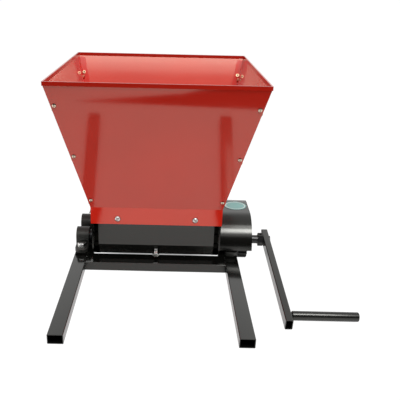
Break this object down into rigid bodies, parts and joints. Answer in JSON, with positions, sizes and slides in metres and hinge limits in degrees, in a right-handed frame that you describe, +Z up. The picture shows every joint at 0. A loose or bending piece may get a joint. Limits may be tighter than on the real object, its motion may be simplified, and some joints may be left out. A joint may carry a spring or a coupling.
{
  "type": "grape crusher",
  "caption": "Hand-cranked grape crusher: a flared red sheet hopper over counter-rotating fluted rollers, on black tube rails, with a gear guard and a long crank.",
  "frame": {"origin": "on the ground, under the middle of the outline seen from above", "axes": "+X along the rollers towards the crank, +Y from the front towards the rear along the rails, +Z up"},
  "size_m": [0.619, 0.88, 0.435],
  "materials": {
    "red_paint": "glossy red enamel",
    "black_paint": "glossy black enamel",
    "zinc": "bright zinc plate",
    "steel": "turned steel",
    "bronze": "sintered bronze",
    "aluminium": "as extruded",
    "black_plastic": "moulded",
    "teal_label": "plain round sticker"
  },
  "bodies": {
    "frame": {"left_rail": "black_paint", "right_rail": "black_paint", "front_cross_bar": "black_paint", "rear_cross_bar": "black_paint", "left_bearing_block": "black_paint", "right_bearing_block": "black_paint", "block_bolts": "zinc", "block_washers": "zinc", "weld_nuts": "steel", "left_bushes": "bronze", "right_bushes": "bronze", "left_side_plate": "black_paint", "right_side_plate": "black_paint", "front_plate": "black_paint", "rear_plate": "black_paint", "plate_bolts": "black_paint", "front_deflector": "zinc", "rear_deflector": "zinc", "front_scraper": "zinc", "rear_scraper": "zinc", "front_adjusting_bolt": "zinc", "rear_adjusting_bolt": "zinc", "adjusting_nuts": "black_paint", "hopper_front_panel": "red_paint", "hopper_rear_panel": "red_paint", "hopper_left_panel": "red_paint", "hopper_right_panel": "red_paint", "front_left_angle": "red_paint", "front_right_angle": "red_paint", "rear_left_angle": "red_paint", "rear_right_angle": "red_paint", "corner_screws": "zinc", "corner_nuts": "zinc", "skirt_screws": "zinc", "skirt_nuts": "zinc", "gear_guard": "black_paint", "guard_bolts": "black_paint", "guard_label": "teal_label"},
    "crank": {"front_roller": "aluminium", "drive_shaft": "steel", "front_collars": "steel", "front_gear_spacer": "zinc", "drive_gear": "black_plastic", "drive_gear_key": "steel", "drive_gear_ring": "steel", "crank_hub": "black_paint", "hub_pin": "steel", "crank_arm": "black_paint", "crank_screw": "zinc", "grip_spindle": "zinc", "spindle_nut": "zinc"},
    "grip": {"grip_sleeve": "black_plastic"},
    "rear_roller_set": {"rear_roller": "aluminium", "driven_shaft": "steel", "rear_collars": "steel", "rear_gear_spacer": "zinc", "driven_gear": "black_plastic", "driven_gear_key": "steel", "driven_gear_ring": "steel"}
  },
  "joints": [
    {"name": "crank_spin", "type": "hinge", "parent": "frame", "child": "crank", "pos_m": [0.1, -0.056, 0.04448], "axis": [1, 0, 0], "continuous": true},
    {"name": "rear_roller_spin", "type": "hinge", "parent": "frame", "child": "rear_roller_set", "pos_m": [0, 0.025, 0.04448], "axis": [1, 0, 0], "continuous": true},
    {"name": "grip_spin", "type": "hinge", "parent": "crank", "child": "grip", "pos_m": [0.2, -0.34846, 0.01441], "axis": [1, 0, 0], "continuous": true}
  ],
  "couplings": [
    {"joint": "rear_roller_spin", "follows": "crank_spin", "ratio": -1}
  ]
}
